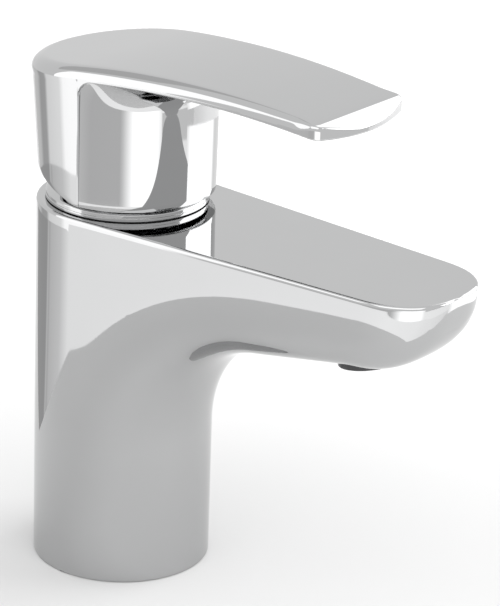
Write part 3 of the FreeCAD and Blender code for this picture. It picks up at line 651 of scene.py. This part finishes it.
def buildCoverRing():
    cover = coverRing
    radius, inner = cover["radius"], cover["radius"] - cover["wall"]
    lipInner, upper = radius - cover["lipWall"], radius - cover["step"]
    rimTop = cover["lip"] + cover["rim"]
    outline = [(inner, cover["foot"]), (lipInner, cover["foot"]), (lipInner, cover["lip"]),
               (radius, cover["lip"]), (radius, rimTop), (upper, rimTop), (upper, cover["wallTop"]),
               (upper - 2 * cover["step"], cover["wallTop"] + 2 * cover["step"]),
               (cover["opening"], cover["top"]), (cover["opening"], cover["top"] - cover["wall"]),
               (inner, cover["wallTop"] - cover["capWall"])]
    verts, faces = latheMesh(roundedProfile(outline, cover["round"]), cover["turns"])
    return addMesh("coverRing", verts, faces, "faucet", "cover_ring")


outletRing = {
    "radius": 7.75,
    "wall": 1.2,
    "lip": 1.0,
    "lipReach": 1.0,
    "drop": 1.2,              # how far it stands out below the spout
    "height": 7.0,
    "round": 0.3,
    "turns": 128,
}


def buildOutletRing():
    outlet = outletRing
    bore = outlet["radius"] - outlet["wall"]
    top = outlet["drop"] + outlet["height"]
    outline = [(bore - outlet["lipReach"], 0), (outlet["radius"], 0), (outlet["radius"], top), (bore, top),
               (bore, outlet["lip"]), (bore - outlet["lipReach"], outlet["lip"])]
    verts, faces = latheMesh(roundedProfile(outline, outlet["round"]), outlet["turns"])
    tilt = Matrix.Rotation(-math.radians(spout["rise"]), 3, "Y")  # square to the spout's underside
    reach = spout["outletReach"]
    foot = Vector((reach, 0, spoutUnderside(reach))) - tilt @ Vector((0, 0, outlet["drop"]))
    verts = [tilt @ Vector(p) + foot for p in verts]
    return addMesh("outletRing", verts, faces, "faucet", "aerator_housing")


plugPiece = buildPlug()
ringPiece = buildCoverRing()
outletPiece = buildOutletRing()
print("plug and rings built")


# finishes: each has its own noise, which drives roughness, a little tone and the bump

finishes = {
    "chrome": {"colour": (0.5, 0.502, 0.505), "metal": 1.0, "rough": (0.015, 0.05),
               "scale": 60, "bump": 0.0},
    "brass": {"colour": (0.78, 0.6, 0.3), "metal": 1.0, "rough": (0.22, 0.36),
              "scale": 400, "bump": 0.05},
    "steel": {"colour": (0.6, 0.61, 0.62), "metal": 1.0, "rough": (0.2, 0.34),
              "scale": 500, "bump": 0.05},
    "rubber": {"colour": (0.02, 0.02, 0.021), "metal": 0.0, "rough": (0.55, 0.75),
               "scale": 900, "bump": 0.15},
    "ceramic": {"colour": (0.86, 0.85, 0.82), "metal": 0.0, "rough": (0.12, 0.2),
                "scale": 300, "bump": 0.0},
    "white_plastic": {"colour": (0.82, 0.82, 0.8), "metal": 0.0, "rough": (0.35, 0.48),
                      "scale": 700, "bump": 0.06},
    "grey_plastic": {"colour": (0.3, 0.31, 0.33), "metal": 0.0, "rough": (0.38, 0.5),
                     "scale": 700, "bump": 0.06},
    "plug_plastic": {"colour": (0.55, 0.56, 0.57), "metal": 0.0, "rough": (0.15, 0.25),
                     "scale": 500, "bump": 0.03},
    # painted shade: this near-black colour stands in for the dark that the outlet ring under the spout
    # shows, which the chrome ring itself would not give
    "outlet": {"colour": (0.045, 0.045, 0.048), "metal": 0.0, "rough": (0.18, 0.3),
               "scale": 600, "bump": 0.04},
}

finishing = {
    "noiseDetail": 3.0,
    "toneSpread": 0.015,
    "bumpDepth": 0.0002,      # metres
    "metalEdge": 0.92,        # how bright metal gets at a flat angle
}


def newMaterial(name):
    material = bpy.data.materials.new(name)
    material.use_nodes = True
    return material, material.node_tree, material.node_tree.nodes["Principled BSDF"]


def noiseNode(tree, scale):
    place = tree.nodes.new("ShaderNodeTexCoord")
    noise = tree.nodes.new("ShaderNodeTexNoise")
    noise.inputs["Scale"].default_value = scale
    noise.inputs["Detail"].default_value = finishing["noiseDetail"]
    tree.links.new(place.outputs["Object"], noise.inputs["Vector"])
    return noise.outputs["Fac"]


def linkRoughness(tree, shader, noise, low, high):
    spread = tree.nodes.new("ShaderNodeMapRange")
    spread.inputs["To Min"].default_value = low
    spread.inputs["To Max"].default_value = high
    tree.links.new(noise, spread.inputs["Value"])
    tree.links.new(spread.outputs["Result"], shader.inputs["Roughness"])


def linkTone(tree, shader, noise, colour):
    tone = tree.nodes.new("ShaderNodeMix")
    tone.data_type = "RGBA"
    factor, darker, lighter = tone.inputs[0], tone.inputs[6], tone.inputs[7]
    darker.default_value = tuple(c * (1 - finishing["toneSpread"]) for c in colour) + (1,)
    lighter.default_value = tuple(c * (1 + finishing["toneSpread"]) for c in colour) + (1,)
    tree.links.new(noise, factor)
    tree.links.new(tone.outputs[2], shader.inputs["Base Color"])


def linkBump(tree, shader, noise, strength):
    bump = tree.nodes.new("ShaderNodeBump")
    bump.inputs["Strength"].default_value = strength
    bump.inputs["Distance"].default_value = finishing["bumpDepth"]
    tree.links.new(noise, bump.inputs["Height"])
    tree.links.new(bump.outputs["Normal"], shader.inputs["Normal"])


def makeFinish(name):
    finish = finishes[name]
    material, tree, shader = newMaterial(name)
    shader.inputs["Metallic"].default_value = finish["metal"]
    if finish["metal"]:
        shader.inputs["Specular Tint"].default_value = (finishing["metalEdge"],) * 3 + (1,)
    noise = noiseNode(tree, finish["scale"])
    linkRoughness(tree, shader, noise, *finish["rough"])
    linkTone(tree, shader, noise, finish["colour"])
    if finish["bump"]:
        linkBump(tree, shader, noise, finish["bump"])
    return material


materials = {name: makeFinish(name) for name in finishes}
for part in frame["record"]["subparts"]:
    nodeMesh = nodes[part["node"]].data
    nodeMesh.materials.clear()
    nodeMesh.materials.append(materials[part["material_slot"]])
for piece in (spoutSkin, leverPlate, leverNeck, ringPiece):
    piece.data.materials.append(materials["chrome"])
# the outlet ring gets the near-black finish, which is painted shade on the ring under the spout
outletPiece.data.materials.append(materials["outlet"])
plugPiece.data.materials.append(materials["plug_plastic"])
print("finishes:", len(materials))


# floor, soft panels and camera, in metres and degrees

studio = {
    "cameraAt": (0.501363, -0.587798, 0.373673),
    "cameraTurn": (68.469184, -1.831121, 38.82635),
    "lens": 192.993,
    "sensor": 36,
    "tableTone": 0.71,
    "farTone": 0.9,
    "awayTurn": 128,          # direction in which the floor fades to white
    "awayFrom": -0.02,
    "awayTo": 0.28,
    "floorRough": 0.9,
    "tableMiddle": (0.024, -0.072),
    "tableRadius": 0.132,
    "tableArc": (150, 375),   # the floor ends in this arc in front, and the rings lie beyond it
    "tablePoints": 120,
    "farCorners": ((1.0, 1.6), (1.5, 4), (-2, 4), (-4, 2.2)),
    "floorReach": 6.0,
    "floorLevel": -0.00003,
    "ringStep": 0.5,
}

# reflecting rings on floor level: inner and outer radius, level, and tone by direction
floorRings = {
    "nearRing": {"from": 0.08, "to": 0.297, "level": -0.004, "tones": (
        (150, 0.80), (163, 0.62), (166, 0.50), (194, 0.52), (197, 0.85), (200, 0.70), (203, 0.85),
        (222, 1.00), (236, 1.40), (262, 1.52), (300, 1.60), (345, 1.55), (392, 1.30))},
    "farRing": {"from": 0.297, "to": 0.9, "level": -0.004, "tones": (
        (150, 0.90), (174, 0.84), (181, 0.58), (193, 0.62), (199, 1.20), (222, 1.35), (229, 1.85),
        (244, 1.95), (247, 0.90), (262, 0.78), (300, 0.80), (304, 1.05), (316, 2.10), (346, 2.15),
        (352, 1.60))},
    "frontRing": {"from": 0.297, "to": 0.362, "level": -0.004, "tones": ((352, 1.60), (392, 1.50))},
    "rightRing": {"from": 0.245, "to": 0.362, "level": 0.001, "tones": (
        (28, 1.50), (34, 2.10), (82, 2.10), (90, 1.15), (118, 1.00))},
}

# soft panels: azimuth, elevation, distance, width, height, tone, and whether only the chrome sees it
panels = {
    "frontPanel": (308, 58, 0.9, 1.1, 0.55, 2.1, False),
    "leftPanel": (229, 22, 0.9, 0.5, 0.95, 2.0, True),
    "topPanel": (165, 53, 0.92, 0.6, 0.34, 0.72, True),
    "tipPanel": (88, 42, 0.88, 0.4, 0.3, 2.2, True),
    "rightPanel": (62, 26, 0.9, 0.9, 0.62, 4.0, False),
}


def stageMesh(name, points, faces, material):
    mesh = bpy.data.meshes.new(name)
    mesh.from_pydata([tuple(float(c) for c in p) for p in points], [], faces)
    mesh.materials.append(material)
    obj = bpy.data.objects.new(name, mesh)
    bpy.context.scene.collection.objects.link(obj)
    return obj


def glowMaterial(name, tone):
    material, tree, shader = newMaterial(name)
    shader.inputs["Base Color"].default_value = (0, 0, 0, 1)
    shader.inputs["Specular IOR Level"].default_value = 0
    shader.inputs["Emission Color"].default_value = (1, 1, 1, 1)
    shader.inputs["Emission Strength"].default_value = tone
    return material, tree, shader


def floorMaterial():
    material, tree, shader = newMaterial("paleFloor")
    place = tree.nodes.new("ShaderNodeTexCoord")
    turn = tree.nodes.new("ShaderNodeMapping")
    turn.inputs["Rotation"].default_value = (0, 0, -math.radians(studio["awayTurn"]))
    apart = tree.nodes.new("ShaderNodeSeparateXYZ")
    fade = tree.nodes.new("ShaderNodeMapRange")
    fade.interpolation_type = "SMOOTHSTEP"
    fade.inputs["From Min"].default_value = studio["awayFrom"]
    fade.inputs["From Max"].default_value = studio["awayTo"]
    fade.inputs["To Min"].default_value = studio["tableTone"]
    fade.inputs["To Max"].default_value = studio["farTone"]
    tree.links.new(place.outputs["Object"], turn.inputs["Vector"])
    tree.links.new(turn.outputs["Vector"], apart.inputs["Vector"])
    tree.links.new(apart.outputs["X"], fade.inputs["Value"])
    tree.links.new(fade.outputs["Result"], shader.inputs["Base Color"])
    shader.inputs["Roughness"].default_value = studio["floorRough"]
    shader.inputs["Specular IOR Level"].default_value = 0
    return material


def buildFloor():
    material = floorMaterial()
    wide, level = studio["floorReach"], studio["floorLevel"]
    around = [(x * wide, y * wide, level) for x, y in ((-1, -1), (1, -1), (1, 1), (-1, 1))]
    outer = stageMesh("floorAround", around, [(0, 1, 2, 3)], material)
    outer.visible_glossy = False  # the chrome sees the rings there instead
    middle, radius = studio["tableMiddle"], studio["tableRadius"]
    arc = np.radians(np.linspace(*studio["tableArc"], studio["tablePoints"]))
    edge = [(middle[0] + radius * math.cos(a), middle[1] + radius * math.sin(a), 0) for a in arc]
    edge += [(x, y, 0) for x, y in studio["farCorners"]]
    stageMesh("floor", edge, [tuple(range(len(edge)))], material)


def chromeOnly(obj):
    obj.visible_diffuse = False
    obj.visible_shadow = False


def buildRing(name):
    ring = floorRings[name]
    first, last = ring["tones"][0][0], ring["tones"][-1][0]
    angles = np.arange(first, last + studio["ringStep"], studio["ringStep"])
    points = [(r * math.cos(a), r * math.sin(a), ring["level"])
              for r in (ring["from"], ring["to"]) for a in np.radians(angles)]
    material, tree, shader = glowMaterial(name, 1)
    tone = tree.nodes.new("ShaderNodeAttribute")
    tone.attribute_name = "tone"
    tree.links.new(tone.outputs["Fac"], shader.inputs["Emission Strength"])
    card = stageMesh(name, points, gridFaces(2, len(angles)), material)
    values = np.tile(tableValue(angles, ring["tones"]), 2)
    card.data.attributes.new("tone", "FLOAT", "POINT").data.foreach_set("value", values)
    card.visible_camera = False
    chromeOnly(card)


def buildPanel(name):
    azimuth, elevation, distance, width, height, tone, onlyChrome = panels[name]
    turn = Matrix.Rotation(math.radians(azimuth), 4, "Z") @ Matrix.Rotation(-math.radians(elevation), 4, "Y")
    points = [turn @ Vector((distance, x * width / 2, y * height / 2))
              for x, y in ((-1, -1), (1, -1), (1, 1), (-1, 1))]
    panel = stageMesh(name, points, [(0, 1, 2, 3)], glowMaterial(name, tone)[0])
    panel.visible_camera = False
    if onlyChrome:
        chromeOnly(panel)


buildFloor()
for name in floorRings:
    buildRing(name)
for name in panels:
    buildPanel(name)
world = bpy.data.worlds.new("studio")
world.use_nodes = True
world.node_tree.nodes["Background"].inputs["Color"].default_value = (1, 1, 1, 1)
bpy.context.scene.world = world

cameraData = bpy.data.cameras.new("camera")
cameraData.lens = studio["lens"]
cameraData.sensor_width = studio["sensor"]
camera = bpy.data.objects.new("camera", cameraData)
camera.location = studio["cameraAt"]
camera.rotation_euler = [math.radians(turn) for turn in studio["cameraTurn"]]
bpy.context.scene.collection.objects.link(camera)
bpy.context.scene.camera = camera
bpy.context.scene.view_settings.view_transform = "Standard"
print("studio ready:", len(floorRings), "rings and", len(panels), "panels")
